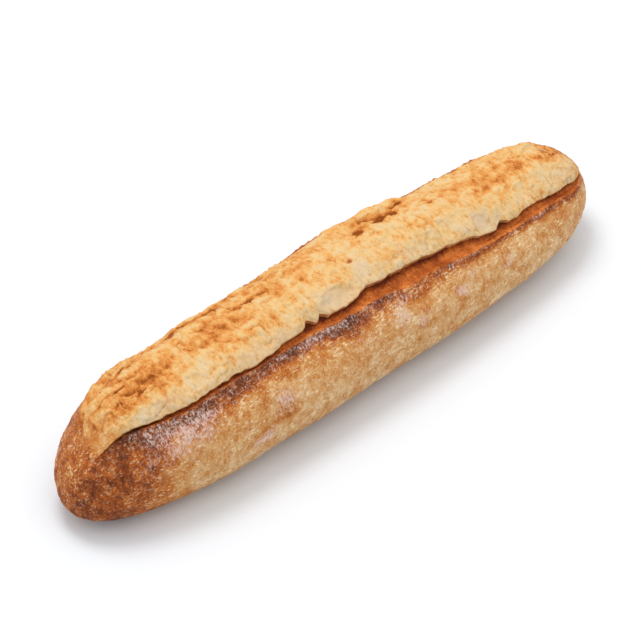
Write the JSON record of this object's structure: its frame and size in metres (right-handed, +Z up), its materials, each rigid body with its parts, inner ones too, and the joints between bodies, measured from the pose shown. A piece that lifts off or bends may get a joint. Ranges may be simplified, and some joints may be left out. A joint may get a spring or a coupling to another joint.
{
  "type": "baguette",
  "caption": "Short baguette with a browned crust, flat underneath, scored along the top, where a pale loaf bloom has baked open beside a crisp lip.",
  "frame": {"origin": "middle of the loaf's bounding box, on the table it rests on", "axes": "+X along the loaf towards the right end, +Y towards the back, away from the side that shows most crust, +Z up"},
  "size_m": [0.2996, 0.0706, 0.0543],
  "materials": {
    "crust": "dry baked crust, matt: golden tan at the sides and cream where the cut opened, browned at the left end and along the cut, dusted with flour"
  },
  "bodies": {
    "root": {"loaf": "crust"}
  },
  "joints": []
}
